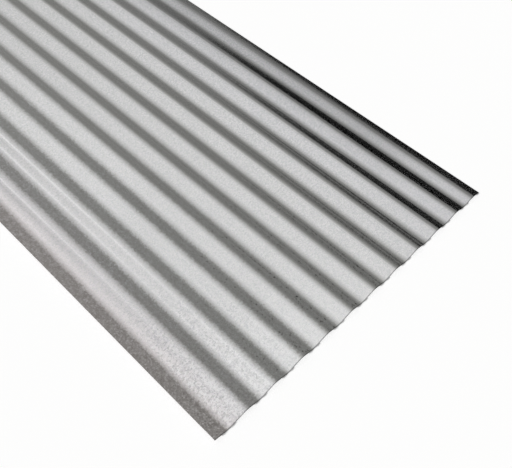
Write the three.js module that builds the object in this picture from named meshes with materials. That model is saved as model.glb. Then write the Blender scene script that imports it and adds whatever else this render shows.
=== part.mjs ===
import * as THREE from 'three';

// A corrugated steel roofing sheet with a bare zinc and aluminium coating, rolled from
// one flat strip. Millimetres: X runs across the corrugations, Y along them and Z up.
// The origin is under the middle of the sheet, on the floor that its troughs lie on.

const sheetLength = 2400; // cut length, along the corrugations
const sheetThickness = 0.47; // steel and coating together
const corrugationPitch = 76.2; // crest to crest
const corrugationDepth = 9; // trough to crest, at the middle of the metal
const rollRadius = 30; // crests and troughs, at the middle of the metal
const fullCrestCount = 10; // crests that are rolled right over
const firstRunGain = 9; // what the first trough lies further from its crest
const lipWidth = 27.1; // metal left flat along the raised edge
const lastFlankWidth = 10; // metal left flat up to the last crest, which is lower
const lastCrestRadius = 50;
const skirtWidth = 13; // metal left flat below the last crest, along the lowered edge
const facetAngle = THREE.MathUtils.degToRad(5); // turn of the metal at each fold line

const coatedSteel = new THREE.MeshStandardMaterial({
  color: 0xc4c5c6,
  roughness: 0.42,
  metalness: 1,
});

// The rounds of two neighbouring bends meet when no flat metal is left between them.
const flankRun = corrugationPitch / 2;
const roundestRadius = (flankRun ** 2 + corrugationDepth ** 2) / (4 * corrugationDepth);
const bendRadius = Math.min(rollRadius, roundestRadius);

// The straight flank between a trough and a crest whose middles are run apart.
function flankFor(run) {
  const centreDrop = 2 * bendRadius - corrugationDepth;
  const centreSpan = Math.hypot(run, centreDrop);
  const crossing = Math.asin(Math.min(1, (2 * bendRadius) / centreSpan));
  const slope = crossing - Math.atan2(centreDrop, run);
  const width = (run - 2 * bendRadius * Math.sin(slope)) / Math.cos(slope);
  return { slope, width };
}

const leftward = (heading) => new THREE.Vector2(-Math.sin(heading), Math.cos(heading));
const forward = (heading) => new THREE.Vector2(Math.cos(heading), Math.sin(heading));

// The middle line of the metal, walked from the raised edge to the lowered one. Each
// station keeps its place and its heading, the slope of the metal there.
class MiddleLine {
  constructor(heading) {
    this.stations = [{ place: new THREE.Vector2(), heading }];
  }

  last() {
    return this.stations[this.stations.length - 1];
  }

  goStraight(width) {
    const { place, heading } = this.last();
    const end = forward(heading).multiplyScalar(width).add(place);
    this.stations.push({ place: end, heading });
  }

  // Fold lines fall half a facet to each side of level, so a crest has a level top.
  bendTo(newHeading, radius = bendRadius) {
    const { place, heading } = this.last();
    const side = Math.sign(newHeading - heading);
    const centre = leftward(heading).multiplyScalar(side * radius).add(place);
    const turns = [];
    const lowest = Math.min(heading, newHeading);
    const highest = Math.max(heading, newHeading);
    const firstFold = Math.floor(lowest / facetAngle + 0.5) + 0.5;
    for (let fold = firstFold; fold * facetAngle < highest; fold += 1) {
      turns.push(fold * facetAngle);
    }
    if (side < 0) turns.reverse();
    turns.push(newHeading);
    for (const turn of turns) {
      const end = leftward(turn).multiplyScalar(-side * radius).add(centre);
      this.stations.push({ place: end, heading: turn });
    }
  }
}

function rolledSection() {
  const firstFlank = flankFor(flankRun + firstRunGain);
  const flank = flankFor(flankRun);
  const middle = new MiddleLine(-flank.slope);

  middle.goStraight(lipWidth);
  middle.bendTo(firstFlank.slope);
  middle.goStraight(firstFlank.width);
  middle.bendTo(-flank.slope);
  for (let crest = 1; crest < fullCrestCount; crest += 1) {
    middle.goStraight(flank.width);
    middle.bendTo(flank.slope);
    middle.goStraight(flank.width);
    middle.bendTo(-flank.slope);
  }
  middle.goStraight(flank.width);
  middle.bendTo(flank.slope);
  middle.goStraight(lastFlankWidth);
  middle.bendTo(-flank.slope, lastCrestRadius);
  middle.goStraight(skirtWidth);
  return middle.stations;
}

// Both faces of the metal stand half its thickness off the middle line.
function sheetOutline(stations) {
  const offset = ({ place, heading }, distance) =>
    leftward(heading).multiplyScalar(distance).add(place);
  const lowerFace = stations.map((station) => offset(station, -sheetThickness / 2));
  const upperFace = stations.map((station) => offset(station, sheetThickness / 2));
  return new THREE.Shape([...lowerFace, ...upperFace.reverse()]);
}

function corrugatedSheet() {
  const outline = sheetOutline(rolledSection());
  const geometry = new THREE.ExtrudeGeometry(outline, {
    depth: sheetLength,
    bevelEnabled: false,
  });
  geometry.rotateX(Math.PI / 2);
  geometry.center();
  geometry.computeBoundingBox();
  geometry.translate(0, 0, -geometry.boundingBox.min.z);

  const sheet = new THREE.Mesh(geometry, coatedSteel);
  sheet.name = 'corrugated_sheet';
  return sheet;
}

const part = new THREE.Group();
part.add(corrugatedSheet());

export default part;
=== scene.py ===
import math

import bmesh
import bpy
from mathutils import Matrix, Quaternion, Vector


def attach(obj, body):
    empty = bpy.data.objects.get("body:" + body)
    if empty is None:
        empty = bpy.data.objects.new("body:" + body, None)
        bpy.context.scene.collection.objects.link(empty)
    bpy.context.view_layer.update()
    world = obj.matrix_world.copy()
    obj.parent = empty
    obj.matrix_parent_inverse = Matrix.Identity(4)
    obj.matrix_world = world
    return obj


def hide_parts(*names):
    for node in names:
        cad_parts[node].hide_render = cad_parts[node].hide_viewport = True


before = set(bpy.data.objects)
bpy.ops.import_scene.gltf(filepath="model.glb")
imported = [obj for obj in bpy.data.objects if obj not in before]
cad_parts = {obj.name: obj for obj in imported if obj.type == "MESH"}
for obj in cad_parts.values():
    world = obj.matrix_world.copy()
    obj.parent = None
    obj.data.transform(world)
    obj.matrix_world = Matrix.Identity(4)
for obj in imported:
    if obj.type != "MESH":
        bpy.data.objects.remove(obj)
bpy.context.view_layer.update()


# sRGB hex, as a paint chart gives it, to the linear colour that a socket takes
def hexColour(code):
    shares = [int(code[i:i + 2], 16) / 255 for i in (0, 2, 4)]
    return (*[c / 12.92 if c <= 0.04045 else ((c + 0.055) / 1.055) ** 2.4 for c in shares], 1)


# adds one node: inputs are constants to set or nodes to link, and settings are the node's own
# properties. Stops are a ramp's places in rising order, each with a colour, hex code or level
def addNode(tree, kind, inputs=None, stops=(), **settings):
    made = tree.nodes.new(kind)
    for name, value in settings.items():
        setattr(made, name, value)
    for name, value in (inputs or {}).items():
        if isinstance(value, bpy.types.Node):
            value = value.outputs[0]
        if isinstance(value, bpy.types.NodeSocket):
            tree.links.new(value, made.inputs[name])
        else:
            made.inputs[name].default_value = value
    for number, (position, value) in enumerate(stops):
        elements = made.color_ramp.elements
        stop = elements[number] if number < 2 else elements.new(position)
        if not isinstance(value, tuple):
            value = hexColour(value) if isinstance(value, str) else (value, value, value, 1)
        stop.position, stop.color = position, value
    return made


def newMaterial(name):
    material = bpy.data.materials.new(name)
    material.use_nodes = True
    material.node_tree.nodes.clear()
    return material, material.node_tree


def addPiece(name, bm, *materials):
    mesh = bpy.data.meshes.new(name)
    bm.to_mesh(mesh)
    bm.free()
    piece = bpy.data.objects.new(name, mesh)
    bpy.context.scene.collection.objects.link(piece)
    for material in materials:
        mesh.materials.append(material)
    return piece


# The rolled sheet, in metres. It is swept from its raised long edge across to the lowered
# one: straight metal is extruded and every bend is spun about its own centre.
sheetForm = {
    "length": 2.4,
    "thickness": 0.00047,
    "pitch": 0.0762,
    "depth": 0.009,  # trough to crest, at the middle of the metal
    "rollRadius": 0.030,
    "fullCrests": 10,
    "firstRunGain": 0.009,  # what the first trough lies further from its crest
    "lipWidth": 0.0271,
    "lastFlankWidth": 0.010,  # up to the last crest, which is lower and rounder
    "lastCrestRadius": 0.050,
    "skirtWidth": 0.013,
    "stepsPerBend": 16,
    "stepsAlong": 60,
    "weldGap": 0.00002,  # points nearer than this become one
    "sharpAngle": 30,  # degrees, folds sharper than this stay sharp
    "endFacing": 0.9,  # how squarely a face looks along the sheet to count as a cut end
    "cutSlack": 1.1,  # how many times its expected area a side cut's face may have
}


# slope and width of the straight flank between a trough and a crest that are run apart
def flankFor(run, depth, radius):
    centreDrop = 2 * radius - depth
    crossing = math.asin(min(1, 2 * radius / math.hypot(run, centreDrop)))
    slope = crossing - math.atan2(centreDrop, run)
    return slope, (run - 2 * radius * math.sin(slope)) / math.cos(slope)


def sweepStraight(bm, front, width):
    swept = bmesh.ops.extrude_edge_only(bm, edges=front["edges"])["geom"]
    verts = [v for v in swept if isinstance(v, bmesh.types.BMVert)]
    ends = set(verts)
    along = Vector((math.cos(front["heading"]), 0, math.sin(front["heading"])))
    bmesh.ops.translate(bm, verts=verts, vec=along * width)
    front["edges"] = [
        e for e in swept if isinstance(e, bmesh.types.BMEdge) and set(e.verts) <= ends]
    front["place"] += along * width


# the swept face is the upper one, so a crest is half the wall rounder and a trough sharper
def sweepBend(bm, front, heading, radius, form):
    before = front["heading"]
    side = math.copysign(radius, heading - before) - form["thickness"] / 2
    centre = front["place"] + side * Vector((-math.sin(before), 0, math.cos(before)))
    verts = list(dict.fromkeys(v for e in front["edges"] for v in e.verts))
    spun = bmesh.ops.spin(
        bm, geom=verts + front["edges"], cent=centre, axis=(0, -1, 0), angle=heading - before,
        steps=form["stepsPerBend"], use_duplicate=False, use_merge=False)
    front["edges"] = [e for e in spun["geom_last"] if isinstance(e, bmesh.types.BMEdge)]
    front["place"] = centre + side * Vector((math.sin(heading), 0, -math.cos(heading)))
    front["heading"] = heading


# middle of a point, edge or face, to the micrometre
def middleOf(element):
    corners = [element] if isinstance(element, bmesh.types.BMVert) else element.verts
    return [round(sum(v.co[axis] for v in corners) / len(corners), 6) for axis in range(3)]


# the mesh tools leave what they make in another order each run, which also changes their next
# sums in the last digit, so the mesh is made again in the order of its places
def putInOrder(bm):
    for elements in (bm.verts, bm.edges, bm.faces):
        for number, element in enumerate(sorted(elements, key=middleOf)):
            element.index = number
        elements.sort()
    ordered = bpy.data.meshes.new("ordered")
    bm.to_mesh(ordered)
    bm.clear()
    bm.from_mesh(ordered)
    bpy.data.meshes.remove(ordered)


def rollSheet(form):
    radius, run = form["rollRadius"], form["pitch"] / 2
    firstSlope, firstWidth = flankFor(run + form["firstRunGain"], form["depth"], radius)
    slope, width = flankFor(run, form["depth"], radius)

    bm = bmesh.new()
    longEdge = bm.edges.new([bm.verts.new((0, y * form["length"] / 2, 0)) for y in (-1, 1)])
    bmesh.ops.subdivide_edges(bm, edges=[longEdge], cuts=form["stepsAlong"] - 1)
    front = {"edges": bm.edges[:], "place": Vector(), "heading": -slope}

    sweepStraight(bm, front, form["lipWidth"])
    sweepBend(bm, front, firstSlope, radius, form)
    sweepStraight(bm, front, firstWidth)
    sweepBend(bm, front, -slope, radius, form)
    for _ in range(form["fullCrests"] - 1):
        sweepStraight(bm, front, width)
        sweepBend(bm, front, slope, radius, form)
        sweepStraight(bm, front, width)
        sweepBend(bm, front, -slope, radius, form)
    sweepStraight(bm, front, width)
    sweepBend(bm, front, slope, radius, form)
    sweepStraight(bm, front, form["lastFlankWidth"])
    sweepBend(bm, front, -slope, form["lastCrestRadius"], form)
    sweepStraight(bm, front, form["skirtWidth"])

    bmesh.ops.remove_doubles(bm, verts=bm.verts, dist=form["weldGap"])
    bmesh.ops.recalc_face_normals(bm, faces=bm.faces)
    if sum(face.normal.z for face in bm.faces) < 0:
        bmesh.ops.reverse_faces(bm, faces=bm.faces)
    putInOrder(bm)
    bmesh.ops.solidify(bm, geom=bm.faces, thickness=form["thickness"])
    across = [v.co.x for v in bm.verts]
    lowest = min(v.co.z for v in bm.verts)
    bmesh.ops.translate(bm, verts=bm.verts, vec=(-(min(across) + max(across)) / 2, 0, -lowest))
    putInOrder(bm)
    for face in bm.faces:
        face.smooth = True
    for edge in bm.edges:
        edge.smooth = edge.calc_face_angle(0) < math.radians(form["sharpAngle"])
    return bm


# Zinc and aluminium coating, left bare. Its even crystals each mirror a little more or less
# of the room and lean a little their own way, which gives the satin its fine light grain.
# Streaks along the first two corrugations and lines on the crests are painted highlights and
# painted shade. Sizes are in metres, a place across or along the sheet is measured from its
# middle, and a ramp of shares across the sheet runs from the raised edge at 0 to the lowered one at
# 1.
sheetFinish = {
    "halfWidth": 0.433,
    "halfLength": 1.2,
    "pitch": 0.0762,
    "coating": [(0, "ece6e6"), (0.03, "ebe5e5"), (0.07, "e6e4e5"), (0.2, "eaeaea"),
                (0.65, "ededed"), (0.85, "ececee")],
    "roughness": 0.16,
    "roughnessSpread": 0.03,
    "crystalSize": 0.0029,  # real ones are about 1 mm, too fine to show, so these are coarser
    # how far the crystals differ in shade, at the near end and further in: most on the first
    # crest. The fade goes from the one to the other between these two places along the sheet
    "nearContrast": [(0, 0.18), (0.03, 0.18), (0.045, 0.56), (0.085, 0.52), (0.2, 0.36),
                     (0.32, 0.27), (0.5, 0.2), (0.9, 0.18)],
    "farContrast": [(0, 0.2), (0.03, 0.2), (0.06, 0.2), (0.2, 0.18), (0.5, 0.19), (0.9, 0.18)],
    "contrastFade": (-1.12, -0.72),
    # how far they lean, against a normal of length 1
    "crystalLean": [(0, 0.24), (0.03, 0.24), (0.07, 0.23), (0.32, 0.2), (0.45, 0.12), (0.66, 0.03)],
    "crystalTint": 0.025,
    # crystals that grew together, and clouds where the bath wiped a little thicker: size,
    # detail, how far the noise strays from its middle, and how far the shade then strays
    "patches": [(0.0055, 1.0, 0.2, 0.03), (0.09, 3.0, 0.25, 0.02)],
    # the same for the corner that was handled, where the coating has gone mottled
    "mottle": (0.0045, 2.0, 0.15, 0.25),
    "mottleReach": 0.42,
    # painted highlights and painted shade, as streaks along the two corrugations by the raised edge:
    # place and change
    "streaks": [(-0.396, 0), (-0.388, 0.14), (-0.379, 0), (-0.372, -0.14), (-0.366, -0.03),
                (-0.3625, 0.22), (-0.359, 0), (-0.3095, 0), (-0.3055, 0.17), (-0.3015, 0),
                (-0.292, -0.07), (-0.287, 0), (-0.2838, 0.2), (-0.2805, 0)],
    "highlightStreakFade": (-1.0, -0.3, 0.3, 1.2),  # two places along the sheet, and the strength at each
    "crestHighlightWidth": 0.005,  # painted highlight: a thin bright line on each crest past the middle
    "crestHighlightShine": 0.18,
    "crestHighlightFull": 0.12,  # place across the sheet where it is at its brightest
    "firstCrest": -0.3553,
    # painted light on the crests, brighter at the near end, and on two of them again further in: two
    # places along the sheet, the change at each, and the share of it across the sheet
    "paintedCrestLight": [(-1.2, -0.98, 0.09, 0.0, [(0.04, 0), (0.07, 1), (0.33, 1), (0.73, 0)]),
                     (-0.82, -0.5, 0.0, 0.05, [(0.19, 0), (0.22, 1), (0.38, 1), (0.41, 0)])],
    "crestStart": (0.008, 0.018),  # from the middle of a flank, where its crest begins and is full
    "paintedEdgeShade": (0.28, 0.37, 0.25),  # painted shade along the lowered edge: from and to across the sheet, and how much
    "paintedEdgeShadeFade": (-1.16, -0.88, 0.1),  # from and to along it, and its share at the near end
    "cutShadowWidth": 0.0025,  # painted shadow: a dark line along each cut end, drawn wider than the real one
    "cutShade": 0.45,
    # falling flanks: place on either side of their middle, and how much steeper they lie there
    "firstFlank": -0.3322,
    "flankLean": [(-0.0081, 0), (-0.0045, 0.013), (0, -0.022), (0.0045, 0.016), (0.0065, 0),
                  (0.0105, -0.13), (0.018, -0.1), (0.028, 0)],
    "flankShare": [(0.05, 0), (0.12, 0.3), (0.25, 0.3), (0.45, 1), (0.8, 0.9), (0.88, 0)],
    # the ones by the lowered edge
    "lastLean": [(-0.033, 0), (-0.022, 0.25), (-0.014, 0.19), (-0.007, 0.09), (-0.002, 0.12),
                 (0.003, 0.06), (0.009, 0), (0.018, -0.08), (0.028, 0)],
    "lastShare": [(0.75, 0), (0.82, 0.32), (0.91, 1), (0.977, 1), (0.985, 0)],
    "lastFade": [(0, 0.75), (0.28, 0.62), (1, 0.25)],  # from the near end to lastFadeReach in
    "lastFadeReach": 0.9,
}


def coatedSteelMaterial(finish):
    material, tree = newMaterial("zincAluminiumCoatedSteel")
    place = addNode(tree, "ShaderNodeTexCoord").outputs["Object"]
    split = addNode(tree, "ShaderNodeSeparateXYZ", {0: place})
    across, along = split.outputs["X"], split.outputs["Y"]
    reach = addNode(tree, "ShaderNodeMapRange", {
        "Value": across, "From Min": -finish["halfWidth"], "From Max": finish["halfWidth"]})

    # crystals: one random colour each, used as shade, roughness, lean and tint
    crystals = addNode(tree, "ShaderNodeTexVoronoi", {
        "Vector": place, "Scale": 1 / finish["crystalSize"]}, feature="F1").outputs["Color"]
    spread = addNode(tree, "ShaderNodeVectorMath", {
        0: crystals, 1: (0.5, 0.5, 0.5)}, operation="SUBTRACT")
    chance = addNode(tree, "ShaderNodeSeparateXYZ", {0: spread})
    nearContrast = addNode(tree, "ShaderNodeValToRGB", {"Fac": reach}, stops=finish["nearContrast"])
    farContrast = addNode(tree, "ShaderNodeValToRGB", {"Fac": reach}, stops=finish["farContrast"])
    near, far = finish["contrastFade"]
    farShare = addNode(tree, "ShaderNodeMapRange", {
        "Value": along, "From Min": near, "From Max": far}, interpolation_type="SMOOTHSTEP")
    contrast = addNode(tree, "ShaderNodeMix", {
        0: farShare, 2: nearContrast, 3: farContrast}, data_type="FLOAT")
    shade = addNode(tree, "ShaderNodeMath", {
        0: chance.outputs["X"], 1: contrast, 2: 1.0}, operation="MULTIPLY_ADD")
    roughness = addNode(tree, "ShaderNodeMath", {
        0: chance.outputs["Y"], 1: 2 * finish["roughnessSpread"], 2: finish["roughness"]},
        operation="MULTIPLY_ADD")
    steepest = addNode(tree, "ShaderNodeValToRGB", {"Fac": reach}, stops=finish["crystalLean"])
    crystalLean = addNode(tree, "ShaderNodeVectorMath", {
        0: spread, "Scale": steepest}, operation="SCALE")

    # clusters of crystals, and soft clouds over the whole sheet
    for size, detail, stray, change in finish["patches"]:
        patches = addNode(tree, "ShaderNodeTexNoise", {
            "Vector": place, "Scale": 1 / size, "Detail": detail})
        patches = addNode(tree, "ShaderNodeMapRange", {
            "Value": patches, "From Min": 0.5 - stray, "From Max": 0.5 + stray,
            "To Min": 1 - change, "To Max": 1 + change})
        shade = addNode(tree, "ShaderNodeMath", {0: shade, 1: patches}, operation="MULTIPLY")

    # mottling that dies out away from the near corner of the raised edge
    size, detail, stray, change = finish["mottle"]
    corner = addNode(tree, "ShaderNodeVectorMath", {
        0: place, 1: (-finish["halfWidth"], -finish["halfLength"], 0)}, operation="DISTANCE")
    handled = addNode(tree, "ShaderNodeMapRange", {
        "Value": corner.outputs["Value"], "From Max": finish["mottleReach"],
        "To Min": change, "To Max": 0.0}, interpolation_type="SMOOTHSTEP")
    mottle = addNode(tree, "ShaderNodeTexNoise", {
        "Vector": place, "Scale": 1 / size, "Detail": detail})
    mottle = addNode(tree, "ShaderNodeMapRange", {
        "Value": mottle, "From Min": 0.5 - stray, "From Max": 0.5 + stray,
        "To Min": 0.5, "To Max": -0.5})
    shade = addNode(tree, "ShaderNodeMath", {
        0: mottle, 1: handled, 2: shade}, operation="MULTIPLY_ADD")

    # painted highlights and painted shade in streaks: a ramp across the first two corrugations,
    # where its middle grey changes nothing
    left, right = finish["streaks"][0][0], finish["streaks"][-1][0]
    overStreaks = addNode(tree, "ShaderNodeMapRange", {
        "Value": across, "From Min": left, "From Max": right})
    streaks = addNode(tree, "ShaderNodeValToRGB", {"Fac": overStreaks}, stops=[
        ((where - left) / (right - left), 0.5 + change) for where, change in finish["streaks"]])
    streaks = addNode(tree, "ShaderNodeMath", {0: streaks, 1: 0.5}, operation="SUBTRACT")
    near, far, weak, strong = finish["highlightStreakFade"]
    strength = addNode(tree, "ShaderNodeMapRange", {
        "Value": along, "From Min": near, "From Max": far,
        "To Min": weak, "To Max": strong}, interpolation_type="SMOOTHSTEP")
    shade = addNode(tree, "ShaderNodeMath", {
        0: streaks, 1: strength, 2: shade}, operation="MULTIPLY_ADD")

    # painted highlight: a thin bright line along each crest past the middle
    halfPitch = finish["pitch"] / 2
    toCrest = addNode(tree, "ShaderNodeMath", {
        0: across, 1: finish["firstCrest"]}, operation="SUBTRACT")
    toCrest = addNode(tree, "ShaderNodeMath", {
        0: toCrest, 1: halfPitch, 2: -halfPitch}, operation="WRAP")
    toCrest = addNode(tree, "ShaderNodeMath", {0: toCrest}, operation="ABSOLUTE")
    crestHighlight = addNode(tree, "ShaderNodeMapRange", {
        "Value": toCrest, "From Max": finish["crestHighlightWidth"] / 2,
        "To Min": finish["crestHighlightShine"], "To Max": 0.0}, interpolation_type="SMOOTHSTEP")
    pastMiddle = addNode(tree, "ShaderNodeMapRange", {
        "Value": across, "From Max": finish["crestHighlightFull"]})
    shade = addNode(tree, "ShaderNodeMath", {
        0: crestHighlight, 1: pastMiddle, 2: shade}, operation="MULTIPLY_ADD")

    # how far off a falling flank's middle, and whether that is out on the crest
    toFlank = addNode(tree, "ShaderNodeMath", {
        0: across, 1: finish["firstFlank"]}, operation="SUBTRACT")
    toFlank = addNode(tree, "ShaderNodeMath", {
        0: toFlank, 1: halfPitch, 2: -halfPitch}, operation="WRAP")
    offFlank = addNode(tree, "ShaderNodeMath", {0: toFlank}, operation="ABSOLUTE")
    begins, full = finish["crestStart"]
    onCrest = addNode(tree, "ShaderNodeMapRange", {
        "Value": offFlank, "From Min": begins, "From Max": full})

    # painted light on the crests, brighter in places
    for near, far, nearShine, farShine, shares in finish["paintedCrestLight"]:
        shine = addNode(tree, "ShaderNodeMapRange", {
            "Value": along, "From Min": near, "From Max": far,
            "To Min": nearShine, "To Max": farShine}, interpolation_type="SMOOTHSTEP")
        share = addNode(tree, "ShaderNodeValToRGB", {"Fac": reach}, stops=shares)
        shine = addNode(tree, "ShaderNodeMath", {0: shine, 1: share}, operation="MULTIPLY")
        shade = addNode(tree, "ShaderNodeMath", {
            0: shine, 1: onCrest, 2: shade}, operation="MULTIPLY_ADD")

    # painted shade along the lowered edge
    begins, full, edgeShadeAmount = finish["paintedEdgeShade"]
    byEdge = addNode(tree, "ShaderNodeMapRange", {
        "Value": across, "From Min": begins, "From Max": full,
        "To Max": edgeShadeAmount}, interpolation_type="SMOOTHSTEP")
    near, far, nearShare = finish["paintedEdgeShadeFade"]
    share = addNode(tree, "ShaderNodeMapRange", {
        "Value": along, "From Min": near, "From Max": far,
        "To Min": nearShare}, interpolation_type="SMOOTHSTEP")
    edgeShade = addNode(tree, "ShaderNodeMath", {0: byEdge, 1: share}, operation="MULTIPLY")
    kept = addNode(tree, "ShaderNodeMath", {0: 1.0, 1: edgeShade}, operation="SUBTRACT")
    shade = addNode(tree, "ShaderNodeMath", {0: shade, 1: kept}, operation="MULTIPLY")

    # painted shadow: a thin dark line at both cut ends
    fromMiddle = addNode(tree, "ShaderNodeMath", {0: along}, operation="ABSOLUTE")
    atCut = addNode(tree, "ShaderNodeMapRange", {
        "Value": fromMiddle, "From Min": finish["halfLength"] - finish["cutShadowWidth"],
        "From Max": finish["halfLength"] - finish["cutShadowWidth"] / 2,
        "To Min": 1.0, "To Max": finish["cutShade"]})
    shade = addNode(tree, "ShaderNodeMath", {0: shade, 1: atCut}, operation="MULTIPLY")

    # the falling flanks lie a little off their rolled form: in one way over most of the sheet,
    # and in another by the lowered edge, more so at its near end
    overPitch = addNode(tree, "ShaderNodeMapRange", {
        "Value": toFlank, "From Min": -halfPitch, "From Max": halfPitch})
    leans = []
    for leanStops, shares in ((finish["flankLean"], finish["flankShare"]),
                              (finish["lastLean"], finish["lastShare"])):
        lean = addNode(tree, "ShaderNodeValToRGB", {"Fac": overPitch}, stops=[
            (0.5 + where / finish["pitch"], 0.5 + change) for where, change in leanStops])
        lean = addNode(tree, "ShaderNodeMath", {0: lean, 1: 0.5}, operation="SUBTRACT")
        share = addNode(tree, "ShaderNodeValToRGB", {"Fac": reach}, stops=shares)
        leans.append(addNode(tree, "ShaderNodeMath", {0: lean, 1: share}, operation="MULTIPLY"))
    fromEnd = addNode(tree, "ShaderNodeMapRange", {
        "Value": along, "From Min": -finish["halfLength"],
        "From Max": finish["lastFadeReach"] - finish["halfLength"]})
    strength = addNode(tree, "ShaderNodeValToRGB", {"Fac": fromEnd}, stops=finish["lastFade"])
    rollLean = addNode(tree, "ShaderNodeMath", {
        0: leans[1], 1: strength, 2: leans[0]}, operation="MULTIPLY_ADD")

    normal = addNode(tree, "ShaderNodeNewGeometry").outputs["Normal"]
    sideways = addNode(tree, "ShaderNodeCombineXYZ", {"X": rollLean})
    tilted = addNode(tree, "ShaderNodeVectorMath", {0: normal, 1: crystalLean}, operation="ADD")
    tilted = addNode(tree, "ShaderNodeVectorMath", {0: tilted, 1: sideways}, operation="ADD")
    tilted = addNode(tree, "ShaderNodeVectorMath", {0: tilted}, operation="NORMALIZE")

    tint = addNode(tree, "ShaderNodeValToRGB", {"Fac": reach}, stops=finish["coating"])
    shaded = addNode(tree, "ShaderNodeVectorMath", {0: tint, "Scale": shade}, operation="SCALE")
    speckle = addNode(tree, "ShaderNodeVectorMath", {
        0: spread, "Scale": finish["crystalTint"]}, operation="SCALE")
    colour = addNode(tree, "ShaderNodeVectorMath", {0: shaded, 1: speckle}, operation="ADD")
    shader = addNode(tree, "ShaderNodeBsdfPrincipled", {
        "Base Color": colour, "Metallic": 1.0, "Roughness": roughness, "Normal": tilted})
    addNode(tree, "ShaderNodeOutputMaterial", {"Surface": shader})
    return material


# Sheared steel along the four cut edges: greyer and rougher than the coating, streaked
# through the thickness by the blade, with painted glints, white spots for the light on small burrs.
edgeFinish = {
    "steel": "8c8984",
    "glint": "f2f2f2",
    "roughness": 0.42,
    "streakSize": 0.0012,
    "streakRelief": 0.4,  # strength from 0 to 1
    "streakDepth": 0.0001,
    "glintSize": 0.02,
    "glintStart": (0.62, 0.7),  # levels of the noise where a painted glint begins and is full
}


def shearedSteelMaterial(finish):
    material, tree = newMaterial("shearedSteelEdge")
    place = addNode(tree, "ShaderNodeTexCoord").outputs["Object"]
    streaks = addNode(tree, "ShaderNodeTexNoise", {
        "Vector": place, "Scale": 1 / finish["streakSize"], "Detail": 2.0})
    glintNoise = addNode(tree, "ShaderNodeTexNoise", {
        "Vector": place, "Scale": 1 / finish["glintSize"], "Detail": 1.0})
    begins, full = finish["glintStart"]
    bright = addNode(tree, "ShaderNodeMapRange", {
        "Value": glintNoise, "From Min": begins, "From Max": full}, interpolation_type="SMOOTHSTEP")
    # painted glints: white spots mixed into the steel's colour
    colour = addNode(tree, "ShaderNodeMix", {
        0: bright, 6: hexColour(finish["steel"]), 7: hexColour(finish["glint"])}, data_type="RGBA")
    relief = addNode(tree, "ShaderNodeBump", {
        "Strength": finish["streakRelief"], "Distance": finish["streakDepth"], "Height": streaks})
    shader = addNode(tree, "ShaderNodeBsdfPrincipled", {
        "Base Color": colour.outputs[2], "Metallic": 1.0, "Roughness": finish["roughness"],
        "Normal": relief})
    addNode(tree, "ShaderNodeOutputMaterial", {"Surface": shader})
    return material


# the cut faces are the ones across the ends and the thin ones along the two long edges
def markCutFaces(bm, form):
    bm.normal_update()
    left, right = min(v.co.x for v in bm.verts), max(v.co.x for v in bm.verts)
    largestCut = form["cutSlack"] * form["thickness"] * form["length"] / form["stepsAlong"]
    for face in bm.faces:
        middle = face.calc_center_median().x
        atEnd = abs(face.normal.y) > form["endFacing"]
        atSide = min(middle - left, right - middle) < form["thickness"] / 2
        face.material_index = 1 if atEnd or (atSide and face.calc_area() < largestCut) else 0
    return bm


coatedSteel = coatedSteelMaterial(sheetFinish)
shearedSteel = shearedSteelMaterial(edgeFinish)
rolled = markCutFaces(rollSheet(sheetForm), sheetForm)
sheet = addPiece("rolledSheet", rolled, coatedSteel, shearedSteel)
print("cut faces", sum(1 for face in sheet.data.polygons if face.material_index == 1))
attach(sheet, "root")
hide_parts("corrugated_sheet")
print("sheet rolled:", len(sheet.data.polygons), "faces")


# Plain pale floor, a flat square of matt white board
floorForm = {
    "size": 14,
    "paint": "d4d4d4",
    "glow": 0.545,  # tops the lit board up to white, to the eye and in the metal
    "shadeReach": 0.004,  # metres, how far the dark under an edge spreads
    "shadeDepth": 8.0,  # power that the open share of the sky is raised to
}


# matt board that glows a little where the eye or the metal meets it, and stays shaded
def whiteBoardMaterial(form):
    material, tree = newMaterial("mattWhiteBoard")
    board = addNode(tree, "ShaderNodeBsdfDiffuse", {"Color": hexColour(form["paint"])})
    ray = addNode(tree, "ShaderNodeLightPath").outputs
    seen = addNode(tree, "ShaderNodeMath", {
        0: ray["Is Camera Ray"], 1: ray["Is Glossy Ray"]}, operation="MAXIMUM")
    seen = addNode(tree, "ShaderNodeMath", {
        0: seen, 1: ray["Is Transmission Ray"]}, operation="MAXIMUM")
    airy = addNode(tree, "ShaderNodeAmbientOcclusion", {"Distance": form["shadeReach"]})
    contact = addNode(tree, "ShaderNodeMath", {
        0: airy.outputs["AO"], 1: form["shadeDepth"]}, operation="POWER")
    level = addNode(tree, "ShaderNodeMath", {0: seen, 1: contact}, operation="MULTIPLY")
    level = addNode(tree, "ShaderNodeMath", {0: level, 1: form["glow"]}, operation="MULTIPLY")
    glow = addNode(tree, "ShaderNodeEmission", {"Strength": level})
    both = addNode(tree, "ShaderNodeAddShader", {0: board, 1: glow})
    addNode(tree, "ShaderNodeOutputMaterial", {"Surface": both})
    return material


def layFloor(form):
    bm = bmesh.new()
    bmesh.ops.create_grid(bm, x_segments=1, y_segments=1, size=form["size"] / 2)
    return addPiece("floor", bm, whiteBoardMaterial(form))


floor = layFloor(floorForm)
print("floor laid")


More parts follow.
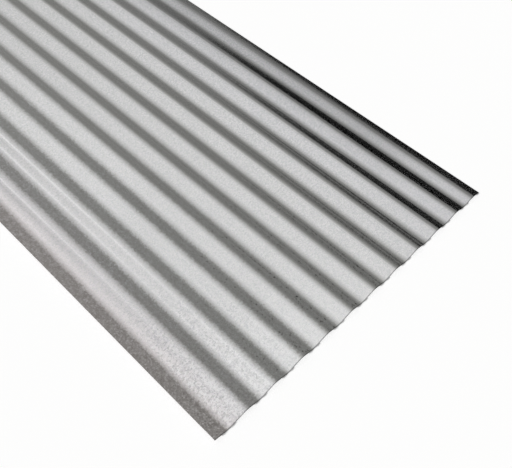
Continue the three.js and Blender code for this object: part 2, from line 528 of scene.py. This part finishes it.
# One broad soft light high behind the raised edge, which fades out across the studio. A black
# card stands low beyond the lowered edge, so the flanks there mirror it and fall into shade.
# A narrower fill stands beyond the near end.
studio = {
    "light": (295, 49),  # degrees from +Y towards +X, and degrees up
    # cosine of the angle off the light, level there, and how much warmer than white it is
    "fade": [(-1, 0.09, 0.04), (-0.1, 0.19, 0.04), (0.2, 0.27, 0.04), (0.4, 0.44, 0.02),
             (0.55, 0.55, 0.01), (0.7, 0.67, 0), (0.85, 0.77, 0), (1, 0.86, 0)],
    "card": (79, -17),
    "cardReach": 36,  # degrees from its middle to the middle of its soft edge
    "cardEdge": 4,
    "fill": (170, 30),
    "fillEdge": 60,  # degrees from its middle to where it has faded out
    "fillLevel": 0.6,
}


def towards(bearing):
    azimuth, elevation = (math.radians(angle) for angle in bearing)
    return (math.sin(azimuth) * math.cos(elevation),
            math.cos(azimuth) * math.cos(elevation), math.sin(elevation))


def lightStudio(form):
    world = bpy.data.worlds.new("studio")
    bpy.context.scene.world = world
    world.use_nodes = True
    tree = world.node_tree
    tree.nodes.clear()
    place = addNode(tree, "ShaderNodeTexCoord").outputs["Generated"]

    # the ramp runs from straight away from the light to straight towards it
    toLight = addNode(tree, "ShaderNodeVectorMath", {
        0: place, 1: towards(form["light"])}, operation="DOT_PRODUCT").outputs["Value"]
    facing = addNode(tree, "ShaderNodeMapRange", {"Value": toLight, "From Min": -1.0})
    fade = addNode(tree, "ShaderNodeValToRGB", {"Fac": facing}, stops=[
        ((cosine + 1) / 2, (level, level, level * (1 - warmth), 1))
        for cosine, level, warmth in form["fade"]])

    toCard = addNode(tree, "ShaderNodeVectorMath", {
        0: place, 1: towards(form["card"])}, operation="DOT_PRODUCT").outputs["Value"]
    uncovered = addNode(tree, "ShaderNodeMapRange", {
        "Value": toCard,
        "From Min": math.cos(math.radians(form["cardReach"] + form["cardEdge"] / 2)),
        "From Max": math.cos(math.radians(form["cardReach"] - form["cardEdge"] / 2)),
        "To Min": 1.0, "To Max": 0.0}, interpolation_type="SMOOTHSTEP")
    soft = addNode(tree, "ShaderNodeBackground", {"Color": fade, "Strength": uncovered})

    toFill = addNode(tree, "ShaderNodeVectorMath", {
        0: place, 1: towards(form["fill"])}, operation="DOT_PRODUCT").outputs["Value"]
    filling = addNode(tree, "ShaderNodeMapRange", {
        "Value": toFill, "From Min": math.cos(math.radians(form["fillEdge"])),
        "To Max": form["fillLevel"]})
    fill = addNode(tree, "ShaderNodeBackground", {"Color": hexColour("ffffff"), "Strength": filling})
    sky = addNode(tree, "ShaderNodeAddShader", {0: soft, 1: fill})
    addNode(tree, "ShaderNodeOutputWorld", {"Surface": sky})


lightStudio(studio)
print("studio lit")


# The camera stands over the near left corner of the sheet and looks down along it
cameraForm = {
    "place": (-0.7375, -1.5151, 1.2013),
    "aim": (-0.0431, -0.9210, 0),
    "roll": 4.94,  # degrees, anticlockwise
    "lens": 47.67,  # millimetres, as the sensor is
    "sensor": 36,
    "clip": (0.01, 100),  # nearest and furthest metres that it sees
}


def addCamera(form):
    camera = bpy.data.objects.new("camera", bpy.data.cameras.new("camera"))
    bpy.context.scene.collection.objects.link(camera)
    look = Vector(form["aim"]) - Vector(form["place"])
    camera.location = form["place"]
    camera.rotation_mode = "QUATERNION"
    roll = Quaternion(look, -math.radians(form["roll"]))
    camera.rotation_quaternion = roll @ look.to_track_quat("-Z", "Y")
    camera.data.lens = form["lens"]
    camera.data.sensor_width = form["sensor"]
    camera.data.clip_start, camera.data.clip_end = form["clip"]
    return camera


bpy.context.scene.camera = addCamera(cameraForm)
bpy.context.scene.view_settings.view_transform = "Standard"

bpy.context.view_layer.update()
